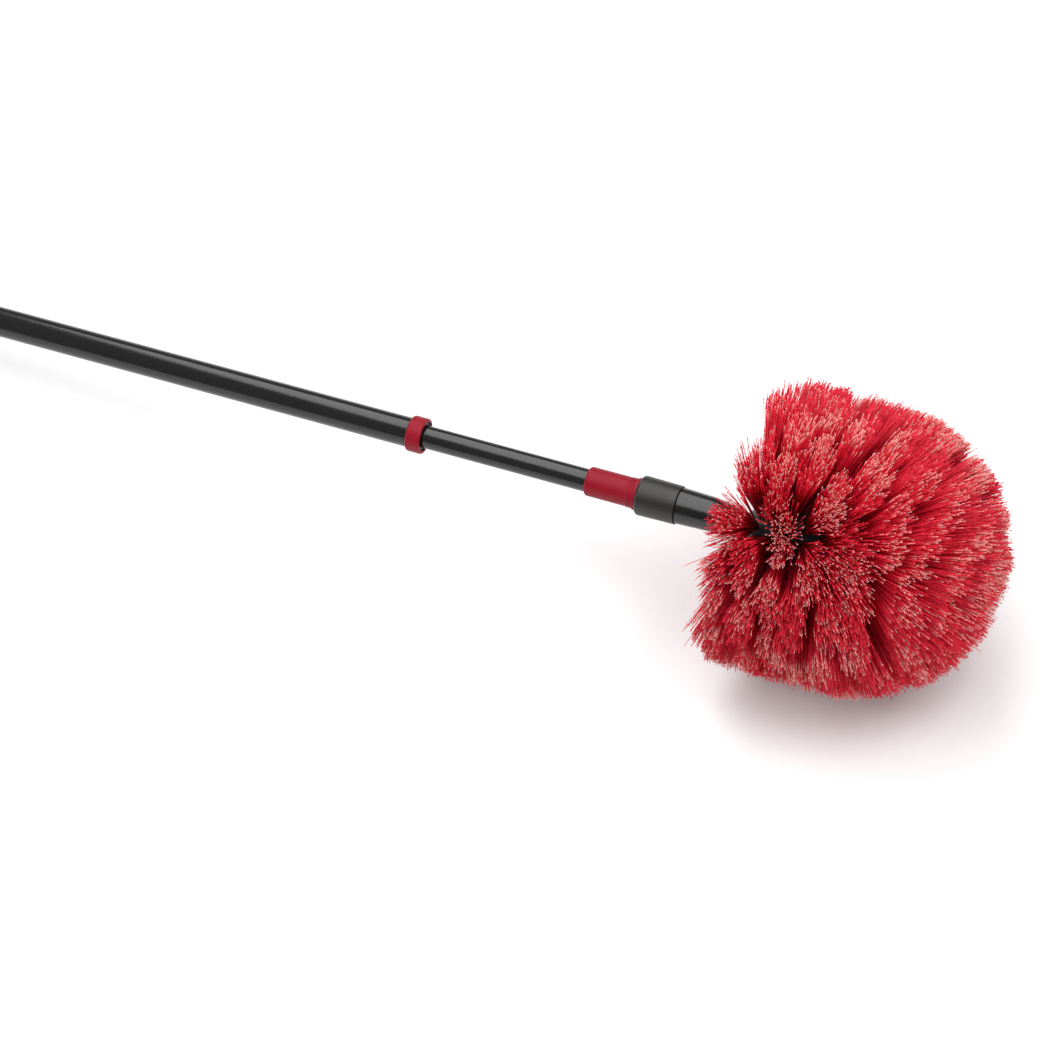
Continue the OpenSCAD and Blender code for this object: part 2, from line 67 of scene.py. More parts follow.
def span(node):
    along = places(node)[0]
    return along.min(), along.max()


def girth(node):
    return places(node)[1].max()


def round_edges(bm, edge):
    """Turns all faces outwards and rounds every sharp edge."""
    bmesh.ops.recalc_face_normals(bm, faces=bm.faces)
    sharp = [e for e in bm.edges if e.calc_face_angle(0) > SHARP]
    bmesh.ops.bevel(bm, geom=sharp, offset=edge, segments=3, affect="EDGES", profile=0.5,
                    material=-1, clamp_overlap=True)


def turned(outline, edge):
    """A closed outline of (radius, place) corners, turned about the pole, with rounded edges."""
    bm = bmesh.new()
    corners = [bm.verts.new((radius, 0, place)) for radius, place in outline]
    for a, b in zip(corners, corners[1:] + corners[:1]):
        if a.co.x > 0 or b.co.x > 0:
            bm.edges.new((a, b))
    bmesh.ops.spin(bm, geom=bm.verts[:] + bm.edges[:], cent=(0, 0, 0), axis=(0, 0, 1),
                   angle=2 * math.pi, steps=TURN_STEPS, use_merge=True)
    bmesh.ops.remove_doubles(bm, verts=bm.verts, dist=1e-6)
    round_edges(bm, edge)
    return bm


def made(bm, name, body, slot, coat, *nodes):
    """Lays a finished bmesh on the pole as a piece that rides on a body and replaces nodes."""
    bmesh.ops.transform(bm, matrix=POLE, verts=bm.verts)
    mesh = bpy.data.meshes.new(name)
    bm.to_mesh(mesh)
    bm.free()
    mesh.shade_smooth()
    mesh.set_sharp_from_angle(angle=SHARP)
    mesh.materials.append(coat)
    piece = bpy.data.objects.new(name, mesh)
    bpy.context.scene.collection.objects.link(piece)
    piece.modifiers.new("even_normals", "WEIGHTED_NORMAL").keep_sharp = True
    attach(piece, body)
    if nodes:
        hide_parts(*nodes)
    return piece


class Socket:
    """An output in a material. Sums on it add Math nodes, and add() adds any other node."""

    def __init__(self, tree, out=None):
        self.tree = tree
        self.out = out

    def add(self, kind, inputs=None, out=0, stops=None, **settings):
        node = self.tree.nodes.new("ShaderNode" + kind)
        for key, value in settings.items():
            setattr(node, key, value)
        for _ in (stops or [])[2:]:
            node.color_ramp.elements.new(0.5)
        for number, (place, colour) in enumerate(stops or []):
            node.color_ramp.elements[number].position = place
            node.color_ramp.elements[number].color = (*colour, 1)
        for key, value in (inputs or {}).items():
            if isinstance(value, Socket):
                self.tree.links.new(value.out, node.inputs[key])
            else:
                node.inputs[key].default_value = value
        return Socket(self.tree, node.outputs[out])

    def sum(self, operation, *values):
        return self.add("Math", dict(enumerate(values)), operation=operation)

    def __add__(self, other):
        return self.sum("ADD", self, other)

    def __mul__(self, other):
        return self.sum("MULTIPLY", self, other)

    def __pow__(self, other):
        return self.sum("POWER", self, other)

    __radd__ = __add__
    __rmul__ = __mul__

    def between(self, first, second):
        """Mixes two colours by this value."""
        mixed = {0: self, 6: first, 7: second}
        return self.add("Mix", mixed, out=2, data_type="RGBA")

    def noise(self, scale, detail=2.0, stretch=1.0):
        """Noise in object space, drawn out along the pole by stretch."""
        place = self.add("TexCoord", out="Object")
        scaled = {"Vector": place, "Rotation": (0, TILT, 0), "Scale": (1 / stretch, 1, 1)}
        return self.add("TexNoise", {"Vector": self.add("Mapping", scaled), "Scale": scale,
                                     "Detail": detail})


def finish(name, draw, **fixed):
    """A material. draw() gives its colour, roughness, bump height and the bump's depth in metres."""
    material = bpy.data.materials.new(name)
    material.use_nodes = True
    shader = material.node_tree.nodes["Principled BSDF"]
    here = Socket(material.node_tree)
    colour, roughness, height, depth = draw(here)
    bump = here.add("Bump", {"Height": height, "Distance": depth, "Strength": 1.0})
    links = {"Base Color": colour, "Roughness": roughness, "Normal": bump}
    for key, value in links.items():
        here.tree.links.new(value.out, shader.inputs[key])
    for key, value in fixed.items():
        shader.inputs[key.replace("_", " ")].default_value = value
    return material


def draw_enamel(here):
    peel = here.noise(420.0)
    scuffs = here.noise(700.0, 4.0, stretch=40.0)
    cloud = here.noise(14.0)
    colour = cloud.between((0.005, 0.005, 0.0048, 1), (0.010, 0.0097, 0.0092, 1))
    return colour, 0.11 + 0.10 * scuffs ** 3 + 0.05 * cloud, peel + 0.25 * scuffs, 0.00003


enamel = finish("black_enamel", draw_enamel, IOR=1.52)
TUBE_WALL = 0.0006
TUBE_EDGE = 0.0001
back, front = span("outer_tube")
radius = girth("outer_tube")
outline = [(radius - TUBE_WALL, back), (radius, back), (radius, front), (radius - TUBE_WALL, front)]
made(turned(outline, TUBE_EDGE), "steel_outer_tube", "outer_pole", "pole_paint", enamel,
     "outer_tube")

# The mouth ring: a thick ring of satin red plastic pressed on the outer tube's mouth.
# It stands past the tube's end, and its mouth is wide open round the guide bush.


def draw_red(here):
    flow = here.noise(60.0, 3.0, stretch=3.0)
    grain = here.noise(1500.0, 2.0)
    colour = flow.between((0.21, 0.0013, 0.010, 1), (0.28, 0.0026, 0.016, 1))
    return colour, 0.38 + 0.10 * flow + 0.06 * grain, grain + 0.6 * flow, 0.00003


red_plastic = finish("red_moulded_plastic", draw_red, Specular_IOR_Level=0.2)
RING_ROUND = 0.0009
RING_EDGE = 0.0005
back, front = span("mouth_ring")
radius = girth("mouth_ring")
bore = girth("outer_tube")
outline = [(bore, back), (radius - RING_ROUND, back), (radius, back + RING_ROUND),
           (radius, front - RING_ROUND), (radius - RING_ROUND / 2, front), (bore, front)]
made(turned(outline, RING_EDGE), "red_mouth_ring", "outer_pole", "red_plastic", red_plastic,
     "mouth_ring")

# The guide bush: a sleeve of fine satin black plastic inside the outer tube, with a
# flange in the mouth ring, which shows as a dark line round the inner tube.


def draw_satin_black(here):
    grain = here.noise(2200.0, 2.0)
    cloud = here.noise(30.0, 3.0)
    colour = cloud.between((0.016, 0.016, 0.017, 1), (0.026, 0.026, 0.026, 1))
    return colour, 0.42 + 0.12 * cloud, grain, 0.00004


satin_black = finish("satin_black_plastic", draw_satin_black, IOR=1.47)
back, front = span("guide_bush")
BUSH_FLANGE = 0.0012
BUSH_EDGE = 0.0002
SLIDE_GAP = 0.00005
radius = bore - TUBE_WALL
inner = girth("inner_tube") + SLIDE_GAP
outline = [(inner, back), (radius, back), (radius, front - BUSH_FLANGE),
           (bore, front - BUSH_FLANGE), (bore, front), (inner, front)]
made(turned(outline, BUSH_EDGE), "black_guide_bush", "outer_pole", "cap_plastic", satin_black,
     "guide_bush")

# The end cap: satin black plastic, pushed over and into the outer tube's free end. The
# hanging eye's stem goes through its closed end, into a pocket with room for the clip.


def rounded_back(radius, back, size):
    """Outline corners round a piece's back edge, from its end face to its side."""
    corners = []
    for turn in (0, 22.5, 45, 67.5, 90):
        swing = math.radians(turn)
        corners.append((radius - size * (1 - math.sin(swing)), back + size * (1 - math.cos(swing))))
    return corners


back, skirt_front = span("end_cap")
CAP_WALL = 0.010
CAP_SKIRT = 0.014
CAP_ROUND = 0.0025
CAP_EDGE = 0.0003
tube_end = back + CAP_WALL
radius = girth("end_cap")
STEM_R = 0.003
POCKET_R = 0.0067
outline = [(STEM_R + SLIDE_GAP, back)] + rounded_back(radius, back, CAP_ROUND)
outline += [(radius, tube_end + CAP_SKIRT), (bore, tube_end + CAP_SKIRT), (bore, tube_end),
            (bore - TUBE_WALL, tube_end),
            (bore - TUBE_WALL, skirt_front), (POCKET_R, skirt_front),
            (POCKET_R, back + CAP_WALL / 2), (STEM_R + SLIDE_GAP, back + CAP_WALL / 2)]
made(turned(outline, CAP_EDGE), "black_end_cap", "outer_pole", "cap_plastic", satin_black,
     "end_cap")

# The hanging eye: a flat plate of black plastic with a hole for a hook. Its round collar
# turns against the cap, and the clip inside the cap holds its stem.
EYE_W = 0.018
EYE_T = 0.006
EYE_HOLE = 0.010
EYE_SHANK_W = 0.014
EYE_COLLAR_T = 0.0024
EYE_COLLAR_R = 0.0075
EYE_GAP = 0.0002
EYE_EDGE = 0.0006
SHANK_FROM = math.radians(50)
eye_u = (Vector(joints["hanger_swivel"]["pos_m"]) - WAIST).dot(ALONG)
_, stem_front = span("hang_eye")
plate_front = back - EYE_GAP - EYE_COLLAR_T


def eye_plate():
    """The plate: a disc and a shank, with the hole cut as a ring of faces, given its thickness."""
    bm = bmesh.new()
    turned_up = Matrix.Translation((0, 0, eye_u)) @ Matrix.Rotation(math.radians(90), 4, "X")
    rim = bmesh.ops.create_circle(bm, radius=EYE_W / 2, segments=64, matrix=turned_up)["verts"]
    bmesh.ops.create_circle(bm, radius=EYE_HOLE / 2, segments=64, matrix=turned_up)
    for corner in rim:
        if corner.co.z > eye_u + EYE_W / 2 * math.cos(SHANK_FROM):
            corner.co.x = max(-EYE_SHANK_W / 2, min(EYE_SHANK_W / 2, corner.co.x))
            corner.co.z = plate_front
    bmesh.ops.bridge_loops(bm, edges=bm.edges[:])
    bmesh.ops.remove_doubles(bm, verts=bm.verts, dist=1e-5)
    plate = bmesh.ops.extrude_face_region(bm, geom=bm.faces[:])["geom"]
    moved = [v for v in plate if isinstance(v, bmesh.types.BMVert)]
    bmesh.ops.translate(bm, vec=(0, EYE_T, 0), verts=moved)
    bmesh.ops.translate(bm, vec=(0, -EYE_T / 2, 0), verts=bm.verts)
    round_edges(bm, EYE_EDGE)
    return bm


made(eye_plate(), "black_eye_plate", "hanger", "cap_plastic", satin_black, "hang_eye")
outline = [(0, plate_front), (EYE_COLLAR_R, plate_front), (EYE_COLLAR_R, plate_front + EYE_COLLAR_T),
           (STEM_R, plate_front + EYE_COLLAR_T), (STEM_R, stem_front), (0, stem_front)]
made(turned(outline, CAP_EDGE), "black_eye_stem", "hanger", "cap_plastic", satin_black, "hang_eye")

# The inner tube: the same enamelled steel, one size down. It slides in the guide bush.
back, front = span("inner_tube")
radius = girth("inner_tube")
outline = [(radius - TUBE_WALL, back), (radius, back), (radius, front), (radius - TUBE_WALL, front)]
made(turned(outline, TUBE_EDGE), "steel_inner_tube", "inner_pole", "pole_paint", enamel,
     "inner_tube")

# The adaptor: a red plastic sleeve fixed on the inner tube's end. It has two fine beads
# before its flange, and a threaded nose for the collar.
back, nose_front = span("adaptor")
ADAPTOR_R = 0.0108
FLANGE_R = 0.0119
FLANGE_T = 0.003
NOSE_R = 0.0095
NOSE_LEN = 0.012
THREAD_PITCH = 0.002
THREAD_DEPTH = 0.0005
THREAD_START = 0.0015
BEAD_W = 0.0014
BEAD_H = 0.0004
BEAD_PLACES = (3.2, 1.7)
CHAMFER_IN = 0.0008
CHAMFER_LEN = 0.0012
FLANGE_CHAMFER = 0.0006
ADAPTOR_EDGE = 0.0003
NOSE_BORE = 0.005
SOCKET_WALL = 0.0045
flange_front = nose_front - NOSE_LEN
flange_back = flange_front - FLANGE_T
outline = [(inner, back), (ADAPTOR_R - CHAMFER_IN, back), (ADAPTOR_R, back + CHAMFER_LEN)]
for bead in BEAD_PLACES:
    place = flange_back - bead * BEAD_W
    outline += [(ADAPTOR_R, place), (ADAPTOR_R + BEAD_H, place + BEAD_W / 3),
                (ADAPTOR_R + BEAD_H, place + 2 * BEAD_W / 3), (ADAPTOR_R, place + BEAD_W)]
outline += [(ADAPTOR_R, flange_back), (FLANGE_R, flange_back + FLANGE_CHAMFER),
            (FLANGE_R, flange_front), (NOSE_R, flange_front)]
place = flange_front + THREAD_START
while place < nose_front - THREAD_PITCH:
    outline += [(NOSE_R, place), (NOSE_R - THREAD_DEPTH, place + THREAD_PITCH / 4),
                (NOSE_R - THREAD_DEPTH, place + THREAD_PITCH / 2), (NOSE_R, place + 3 * THREAD_PITCH / 4)]
    place += THREAD_PITCH
outline += [(NOSE_R, nose_front), (NOSE_BORE, nose_front),
            (NOSE_BORE, flange_front - SOCKET_WALL), (inner, flange_front - SOCKET_WALL)]
made(turned(outline, ADAPTOR_EDGE), "red_adaptor", "inner_pole", "red_plastic", red_plastic, "adaptor")

# The collar nut: matt dark grey-brown plastic with a fine eroded texture. It screws on the
# adaptor's nose, and its lip pulls the neck in.


def draw_matt_grey(here):
    grain = here.noise(1600.0, 4.0)
    cloud = here.noise(55.0, 3.0)
    colour = cloud.between((0.009, 0.0075, 0.006, 1), (0.015, 0.013, 0.011, 1))
    return colour, 0.36 + 0.12 * cloud, grain, 0.00008


matt_grey = finish("matt_grey_brown_plastic", draw_matt_grey, IOR=1.5)
back, front = span("collar_nut")
COLLAR_BACK_R = 0.01465
COLLAR_FRONT_R = 0.01415
COLLAR_ROUND = 0.0024
COLLAR_LIP = 0.009
COLLAR_EDGE = 0.0004
NUT_BORE = 0.0096
TAIL_R = 0.0085
outline = [(NUT_BORE, back)] + rounded_back(COLLAR_BACK_R, back, COLLAR_ROUND)
outline += [(COLLAR_FRONT_R, front), (TAIL_R + SLIDE_GAP, front),
            (TAIL_R + SLIDE_GAP, front - COLLAR_LIP), (NUT_BORE, front - COLLAR_LIP)]
made(turned(outline, COLLAR_EDGE), "grey_collar_nut", "collar", "collar_plastic", matt_grey,
     "collar_nut")

# The neck: gloss black plastic, nearly straight and then drawn in to the waist. Its tail
# goes through the collar nut.


def draw_gloss_black(here):
    wave = here.noise(120.0, 1.0, stretch=4.0)
    cloud = here.noise(40.0, 3.0)
    colour = cloud.between((0.003, 0.0028, 0.0026, 1), (0.006, 0.0055, 0.005, 1))
    return colour, 0.17 + 0.08 * cloud, wave, 0.00006


gloss_black = finish("gloss_black_plastic", draw_gloss_black, IOR=1.52)
tail_back, _ = span("neck")
NECK_LEN = 0.049
NECK_STRAIGHT = 0.020
NECK_BACK_R = 0.01335
NECK_MID_R = 0.01265
WAIST_R = 0.0066
NECK_BORE_END = -0.014
NECK_STEPS = 24
NECK_EDGE = 0.0004
outline = [(NOSE_BORE, tail_back), (TAIL_R, tail_back), (TAIL_R, -NECK_LEN), (NECK_BACK_R, -NECK_LEN)]
for step in range(NECK_STEPS + 1):
    share = step / NECK_STEPS
    outline.append((WAIST_R + (NECK_MID_R - WAIST_R) * math.cos(math.pi / 2 * share),
                    -NECK_LEN + NECK_STRAIGHT + (NECK_LEN - NECK_STRAIGHT) * share))
outline += [(0, 0), (0, NECK_BORE_END), (NOSE_BORE, NECK_BORE_END)]
made(turned(outline, NECK_EDGE), "black_neck", "brush_head", "neck_gloss", gloss_black, "neck")

# The core: black plastic with a cone behind and a round end, drilled for the tufts. It
# shows in the gaps between them.


def draw_core_black(here):
    grain = here.noise(900.0, 3.0)
    cloud = here.noise(80.0, 3.0)
    colour = cloud.between((0.005, 0.005, 0.005, 1), (0.010, 0.009, 0.009, 1))
    return colour, 0.38 + 0.15 * cloud, grain, 0.00006


core_black = finish("black_core_plastic", draw_core_black, IOR=1.48)
CORE_R = girth("core_hub")
SKIN = 0.002
FLARE = 0.0115
CORE_BACK = 0.0002
CORE_EDGE = 0.0006
BARREL_END = span("core_hub")[1] - (CORE_R - SKIN)
CORE_STEPS = 20
outline = [(0, CORE_BACK), (WAIST_R, CORE_BACK), (CORE_R, FLARE)]
for step in range(CORE_STEPS + 1):
    swing = math.pi / 2 * step / CORE_STEPS
    outline.append((CORE_R * math.cos(swing), BARREL_END + CORE_R * math.sin(swing)))
made(turned(outline, CORE_EDGE), "black_core", "brush_head", "core_plastic", core_black, "core_hub")

# The bristles: red plastic filaments in tufts, a ring of tufts to each row. A filament is a
# three-sided rod with its end split in three, pale where it has worn, and a tuft fans out
# in clumps from its hole. All are trimmed to a cylinder with a round end.
BALL_R = 0.1092
OFF_CENTRE = (-0.0028, 0.0028, 0)
BALL_CENTRE = 0.087
TUFTS_ROUND = 12
ROW_MARGIN = 0.0025
BARREL_ROWS = 6
DOME_ROWS = 4
DOME_FIRST = 25
LEAN_FIRST = 2
LEAN_FRONT = 38
HEAD_TURN = 9
TUFT_FILAMENTS = 310
TUFT_R = 0.0016
ROOT_DEPTH = 0.001
FAN_ROUND = 13.5
FAN_ALONG = 5.8
CLUMPS = 9
CLUMP_REACH = 0.8
CLUMP_SPREAD = 0.34
RAGGED = 0.07
CLUMP_RAGGED = 0.06
TUFT_LEAN = 1.8
TUFT_TURN = 2.0
FAN_VARIES = (0.9, 1.3)
SWAY = 3.5
SWAY_TURN = math.radians(75)
STRAYS = 0.006
STRAY_SWING = 0.1
LONG_SHARE = 0.01
LONG_BY = 1.03
BEND = 0.0009
FILAMENT_R = 0.00027
ROD_TAPER = 0.95
NOMINAL = 0.095
SPLIT_FROM = 0.966
SPLIT_OVERLAP = 0.02
SPLIT_ENDS = 3
SPLIT_THICK = (0.75, 0.55)
SPLIT_OUT = (0.0003, 0.0010)
SPLIT_SHORT = 0.4
SHAPES = 8
SHADES = 20
PALE_SHARE = 0.38
MIXED_SHARE = 0.07
COLUMN_HALF = 0.45
COLUMN_SKEW = 0.004
CHART_MARGIN = 0.002
LOWEST = 0.0002
random = np.random.default_rng(20)


def rod(low, high, thick, thin, cuts):
    """A rod with three sides, along +Z between two shares of a filament's length."""
    bm = bmesh.new()
    depth = (high - low) * NOMINAL
    bmesh.ops.create_cone(bm, cap_ends=True, segments=3, radius1=thick, radius2=thin, depth=depth,
                          matrix=Matrix.Translation((0, 0, low * NOMINAL + depth / 2)))
    for cut in range(1, cuts + 1):
        bmesh.ops.bisect_plane(bm, geom=bm.verts[:] + bm.edges[:] + bm.faces[:], plane_no=(0, 0, 1),
                               plane_co=(0, 0, low * NOMINAL + depth * cut / (cuts + 1)))
    bmesh.ops.triangulate(bm, faces=bm.faces)
    bm.verts.index_update()
    corners = np.array([v.co for v in bm.verts])
    faces = np.array([[v.index for v in f.verts] for f in bm.faces])
    bm.free()
    chart = corners[faces] * (COLUMN_HALF / thick, COLUMN_SKEW / thick, 1 / NOMINAL)
    return corners, faces, chart[:, :, :2] + chart[:, :, 2:] * (0, 1) + (0.5, 0)


def filament_shape():
    """One filament along +Z: a rod, and split ends that lean apart. Corners, faces and chart."""
    parts = [rod(0, SPLIT_FROM + SPLIT_OVERLAP, FILAMENT_R, FILAMENT_R * ROD_TAPER, 2)]
    first = random.uniform(0, 2 * math.pi)
    thick, thin = (FILAMENT_R * part for part in SPLIT_THICK)
    for end in range(SPLIT_ENDS):
        swing = first + end * 2 * math.pi / SPLIT_ENDS + random.uniform(-0.5, 0.5)
        corners, faces, chart = rod(SPLIT_FROM, 1, thick, thin, 0)
        share = corners[:, 2:] / NOMINAL - SPLIT_FROM
        away = random.uniform(*SPLIT_OUT) * (share / (1 - SPLIT_FROM)) ** 1.5
        corners += away * (math.cos(swing), math.sin(swing), 0)
        corners[:, 2:] -= share * random.uniform(0, SPLIT_SHORT)
        parts.append((corners, faces, chart))
    corners, faces, chart = zip(*parts)
    starts = np.cumsum([0] + [len(c) for c in corners[:-1]])
    faces = [f + start for f, start in zip(faces, starts)]
    return np.concatenate(corners), np.concatenate(faces), np.concatenate(chart).reshape(-1, 2)


shapes = [filament_shape() for _ in range(SHAPES)]
shape_corners = np.array([s[0] for s in shapes])
shape_faces = np.array([s[1] for s in shapes])
shape_charts = np.array([s[2] for s in shapes])


def to_outline(start, way):
    """How far it is from start along way to the trimmed outline, which is a little off centre."""
    start = start - OFF_CENTRE
    flat = way.copy()
    flat[:, 2] = 0
    a = (flat ** 2).sum(1)
    b = (start * flat).sum(1)
    c = start[:, 0] ** 2 + start[:, 1] ** 2 - BALL_R ** 2
    side = (-b + np.sqrt(b * b - a * c)) / np.maximum(a, 1e-9)
    from_centre = start - (0, 0, BALL_CENTRE)
    b = (from_centre * way).sum(1)
    ball = -b + np.sqrt(b * b - (from_centre ** 2).sum(1) + BALL_R ** 2)
    return np.where(start[:, 2] + ball * way[:, 2] > BALL_CENTRE, ball, side)


def tuft(place, radius, lean, turn):
    """Roots, directions, lengths and bends of a tuft's filaments, and which have pale ends."""
    lean, turn = math.radians(lean), math.radians(turn)
    lean += math.radians(SWAY) * math.cos(turn - SWAY_TURN) * math.cos(lean)
    lean += math.radians(random.normal(0, TUFT_LEAN))
    turn += math.radians(random.normal(0, TUFT_TURN))
    round_way = np.array((-math.sin(turn), math.cos(turn), 0))
    flat_out = np.array((math.cos(turn), math.sin(turn), 0))
    out = math.cos(lean) * flat_out + np.array((0, 0, math.sin(lean)))
    along = -math.sin(lean) * flat_out + np.array((0, 0, math.cos(lean)))
    count = TUFT_FILAMENTS
    spread = np.sqrt(random.uniform(0, 1, CLUMPS))
    swing = random.uniform(0, 2 * math.pi, CLUMPS)
    clump = np.stack((spread * np.cos(swing), spread * np.sin(swing)), 1) * CLUMP_REACH
    kind = random.integers(0, CLUMPS, count)
    own = random.normal(0, CLUMP_SPREAD, (count, 2)) + clump[kind]
    own /= np.maximum(1, np.linalg.norm(own, axis=1))[:, None]
    fan = math.radians(random.uniform(*FAN_VARIES))
    way = (out + np.tan(fan * FAN_ROUND * own[:, :1]) * round_way
           + np.tan(fan * FAN_ALONG * own[:, 1:]) * along)
    stray = random.uniform(0, 1, (count, 1)) < STRAYS
    way += np.where(stray, random.normal(0, STRAY_SWING, (count, 3)), 0)
    way /= np.linalg.norm(way, axis=1)[:, None]
    root = (radius * flat_out + np.array((0, 0, place)) - ROOT_DEPTH * out
            + TUFT_R * (own[:, :1] * round_way + own[:, 1:] * along))
    length = to_outline(root, way) * (1 - RAGGED * random.uniform(0, 1, count) ** 1.6)
    length *= 1 - CLUMP_RAGGED * random.uniform(0, 1, CLUMPS)[kind] ** 2
    length *= np.where(random.uniform(0, 1, count) < LONG_SHARE, LONG_BY, 1)
    bend = random.normal(0, BEND, (count, 3))
    pale = (random.uniform(0, 1, CLUMPS) < PALE_SHARE)[kind]
    pale ^= random.uniform(0, 1, count) < MIXED_SHARE
    return root, way, length, bend, pale


def bristle_row(name, node, row):
    """All tufts of a row as one mesh, made of copies of the filament shapes."""
    place, radius, lean, count, offset = row
    parts = [tuft(place, radius, lean, (j + offset) * 360 / count - HEAD_TURN) for j in range(count)]
    root, way, length, bend, pale = (np.concatenate(part) for part in zip(*parts))
    total = len(root)
    shape = random.integers(0, SHAPES, total)
    spin = random.uniform(0, 2 * math.pi, total)
    shade = random.integers(0, SHADES, total) + np.where(pale, SHADES, 0)
    side = np.cross(way, np.where(np.abs(way[:, 2:]) > 0.9, (1.0, 0, 0), (0, 0, 1.0)))
    side /= np.linalg.norm(side, axis=1)[:, None]
    other = np.cross(way, side)
    x_way = np.cos(spin)[:, None] * side + np.sin(spin)[:, None] * other
    y_way = np.cross(way, x_way)
    local = shape_corners[shape]
    share = local[:, :, 2:] / NOMINAL
    corners = (root[:, None] + local[:, :, :1] * x_way[:, None] + local[:, :, 1:2] * y_way[:, None]
               + share * length[:, None, None] * way[:, None] + share ** 2 * bend[:, None])
    corners = corners.reshape(-1, 3) @ np.array(POLE.to_3x3()).T + np.array(WAIST)
    corners[:, 2] = np.maximum(corners[:, 2], LOWEST)
    per_shape = local.shape[1]
    faces = (shape_faces[shape] + np.arange(total)[:, None, None] * per_shape).reshape(-1)
    chart = shape_charts[shape].copy()
    chart[:, :, 0] = (shade[:, None] + chart[:, :, 0]) / (2 * SHADES)
    chart[:, :, 1] = np.clip(chart[:, :, 1], CHART_MARGIN, 1 - CHART_MARGIN)
    mesh = bpy.data.meshes.new(name)
    mesh.vertices.add(len(corners))
    mesh.vertices.foreach_set("co", corners.astype(np.float32).ravel())
    mesh.loops.add(len(faces))
    mesh.loops.foreach_set("vertex_index", faces.astype(np.int32))
    mesh.polygons.add(len(faces) // 3)
    mesh.polygons.foreach_set("loop_start", np.arange(0, len(faces), 3, dtype=np.int32))
    mesh.update(calc_edges=True)
    mesh.shade_smooth()
    mesh.uv_layers.new(name="OFBake").data.foreach_set("uv", chart.astype(np.float32).ravel())
    mesh.materials.append(bristle_red)
    piece = bpy.data.objects.new(name, mesh)
    bpy.context.scene.collection.objects.link(piece)
    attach(piece, "brush_head")
    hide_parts(node)


def draw_bristle(here):
    chart = here.add("UVMap", uv_map="OFBake")
    column = here.add("SeparateXYZ", {0: chart}, out=0)
    length = here.add("SeparateXYZ", {0: chart}, out=1)
    # Along a filament with pale ends the ramp paints shade, darker towards the root deep in the ball,
    # then goes to crimson and then to the pale split end, which is the filament's own colour.
    stops = [(0.0, (0.55, 0.004, 0.016)), (0.3, (0.76, 0.007, 0.034)), (0.9, (0.78, 0.010, 0.042)),
             (0.95, (0.80, 0.035, 0.058)), (0.97, (0.90, 0.33, 0.30)), (1.0, (0.95, 0.54, 0.46))]
    split_ends_and_root_shade = here.add("ValToRGB", {0: length}, stops=stops)
    step = here.sum("FLOOR", column * (2.0 * SHADES))
    own = here.add("TexWhiteNoise", {"W": step}, noise_dimensions="1D")
    red = here.sum("LESS_THAN", column, 0.5).between(split_ends_and_root_shade, (0.79, 0.016, 0.046, 1))
    shaded = own.between((0.90, 0.82, 0.88, 1), (1.0, 1.0, 1.0, 1))
    colour = here.add("Mix", {0: 1.0, 6: red, 7: shaded}, out=2, data_type="RGBA", blend_type="MULTIPLY")
    return colour, 0.45 + 0.2 * own, length, 0.00001


bristle_red = finish("split_red_filament", draw_bristle, Specular_IOR_Level=0.35)
barrel_first = FLARE + ROW_MARGIN
row_pitch = (BARREL_END - ROW_MARGIN - barrel_first) / (BARREL_ROWS - 1)
tuft_pitch = 2 * math.pi * CORE_R / TUFTS_ROUND
for number in range(BARREL_ROWS):
    place = barrel_first + number * row_pitch
    share = (place - barrel_first) / (BARREL_END - barrel_first)
    lean = LEAN_FIRST + (LEAN_FRONT - LEAN_FIRST) * share
    bristle_row(f"red_bristle_row_{number + 1}", f"bristle_row_{number + 1}",
                (place, CORE_R, lean, TUFTS_ROUND, 0 if number % 2 else 0.5))
for number in range(DOME_ROWS):
    angle = DOME_FIRST + number * (90 - DOME_FIRST) / (DOME_ROWS - 1)
    radius = CORE_R * math.cos(math.radians(angle))
    node = f"bristle_dome_{number + 1}" if number < DOME_ROWS - 1 else "bristle_tip"
    bristle_row("red_" + node, node,
                (BARREL_END + CORE_R * math.sin(math.radians(angle)), radius,
                 angle + LEAN_FRONT * (1 - angle / 90), max(1, round(2 * math.pi * radius / tuft_pitch)),
                 0 if number % 2 else 0.5))

# The pieces inside: the twist lock's white plastic, and zinc plated screws, washer, clip,
# ring and tuft anchors. They are as the frame has them, and only take their finish here.


def draw_zinc(here):
    brushed = here.noise(1800.0, 3.0, stretch=12.0)
    cloud = here.noise(90.0, 3.0)
    colour = cloud.between((0.52, 0.53, 0.54, 1), (0.68, 0.69, 0.69, 1))
    return colour, 0.24 + 0.16 * brushed, brushed, 0.00003


def draw_acetal(here):
    flow = here.noise(70.0, 3.0, stretch=2.0)
    grain = here.noise(1300.0)
    colour = flow.between((0.74, 0.74, 0.70, 1), (0.83, 0.83, 0.80, 1))
    return colour, 0.34 + 0.1 * flow, grain, 0.00003


zinc = finish("zinc_plated_steel", draw_zinc, Metallic=1.0)
acetal = finish("white_acetal", draw_acetal, IOR=1.48)
INSIDE = {"slide_bush": acetal, "lock_plug": acetal, "cam_ring": acetal, "cam_washer": zinc,
          "lock_screw": zinc, "eye_clip": zinc, "retaining_ring": zinc, "core_screw": zinc,
          "tuft_anchors": zinc}
for node, look in INSIDE.items():
    mesh = frame["nodes"][node].data
    mesh.materials.clear()
    mesh.materials.append(look)

# The floor, the lights and the camera: a white sweep under a large softbox that hangs
# behind and above the brush, and the camera where the photograph was taken from.
FLOOR_HALF = 8
WORLD_STRENGTH = 0.28
floor_bm = bmesh.new()
bmesh.ops.create_grid(floor_bm, x_segments=1, y_segments=1, size=FLOOR_HALF)
floor_mesh = bpy.data.meshes.new("floor")
floor_bm.to_mesh(floor_mesh)
floor_bm.free()


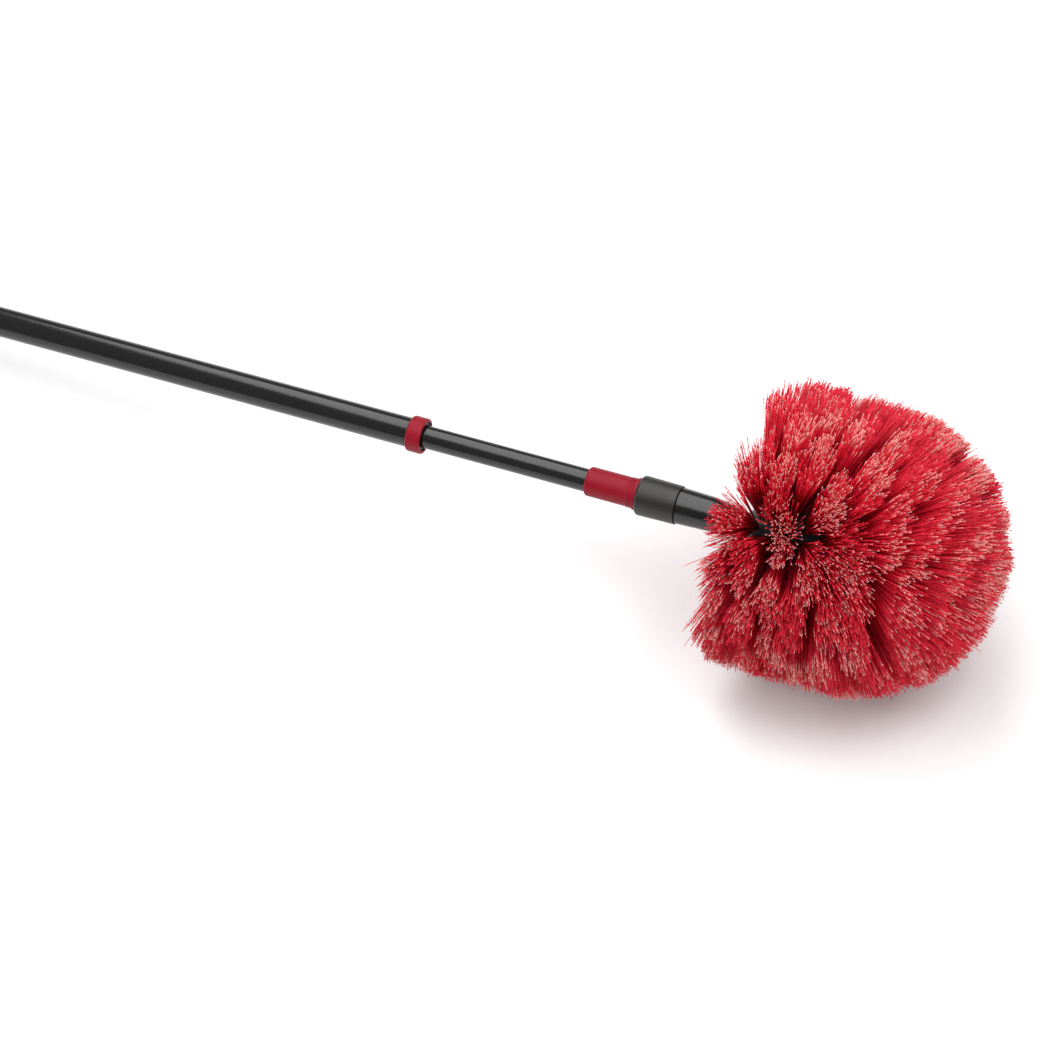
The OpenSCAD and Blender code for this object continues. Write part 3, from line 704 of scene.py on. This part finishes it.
def draw_floor(here):
    grain = here.noise(300.0)
    colour = grain.between((0.91, 0.91, 0.91, 1), (0.93, 0.93, 0.93, 1))
    return colour, 0.8 + 0.05 * grain, grain, 0.00002


floor_mesh.materials.append(finish("white_floor", draw_floor))
floor = bpy.data.objects.new("floor", floor_mesh)
bpy.context.scene.collection.objects.link(floor)

world = bpy.data.worlds.new("studio")
world.use_nodes = True
world.node_tree.nodes["Background"].inputs["Color"].default_value = (0.98, 0.99, 1.0, 1)
world.node_tree.nodes["Background"].inputs["Strength"].default_value = WORLD_STRENGTH
bpy.context.scene.world = world
bpy.context.scene.view_settings.view_transform = "Standard"


def softbox(name, place, target, width, height, power):
    light = bpy.data.lights.new(name, "AREA")
    light.shape = "RECTANGLE"
    light.size = width
    light.size_y = height
    light.energy = power
    lamp = bpy.data.objects.new(name, light)
    lamp.location = place
    lamp.visible_camera = False
    lamp.rotation_euler = (Vector(place) - Vector(target)).to_track_quat("Z", "Y").to_euler()
    bpy.context.scene.collection.objects.link(lamp)


softbox("back_softbox", (-0.18, 0.26, 1.88), (-0.1, 0.0, 0.05), 1.3, 3.7, 50)
softbox("key", (1.15, -0.1, 1.65), (0.5, 0.0, 0.05), 0.8, 0.8, 12)
softbox("left_fill", (-2.2, -1.0, 1.2), (0.5, 0.0, 0.1), 1.0, 1.0, 16)
softbox("right_fill", (2.6, -1.0, 1.2), (0.5, 0.0, 0.1), 1.0, 1.0, 17)

CAMERA_PLACE = Vector((1.0566, -1.8983, 2.7885))
CAMERA_HEIGHT = math.radians(53.47)
CAMERA_TURN = math.radians(-67.61)
CAMERA_LENS = 161.61
towards_camera = Vector((math.cos(CAMERA_HEIGHT) * math.cos(CAMERA_TURN),
                         math.cos(CAMERA_HEIGHT) * math.sin(CAMERA_TURN), math.sin(CAMERA_HEIGHT)))
camera = bpy.data.objects.new("camera", bpy.data.cameras.new("camera"))
camera.data.lens = CAMERA_LENS
camera.data.sensor_width = 36
camera.data.clip_end = 50
camera.location = CAMERA_PLACE
camera.rotation_euler = towards_camera.to_track_quat("Z", "Y").to_euler()
bpy.context.scene.collection.objects.link(camera)
bpy.context.scene.camera = camera
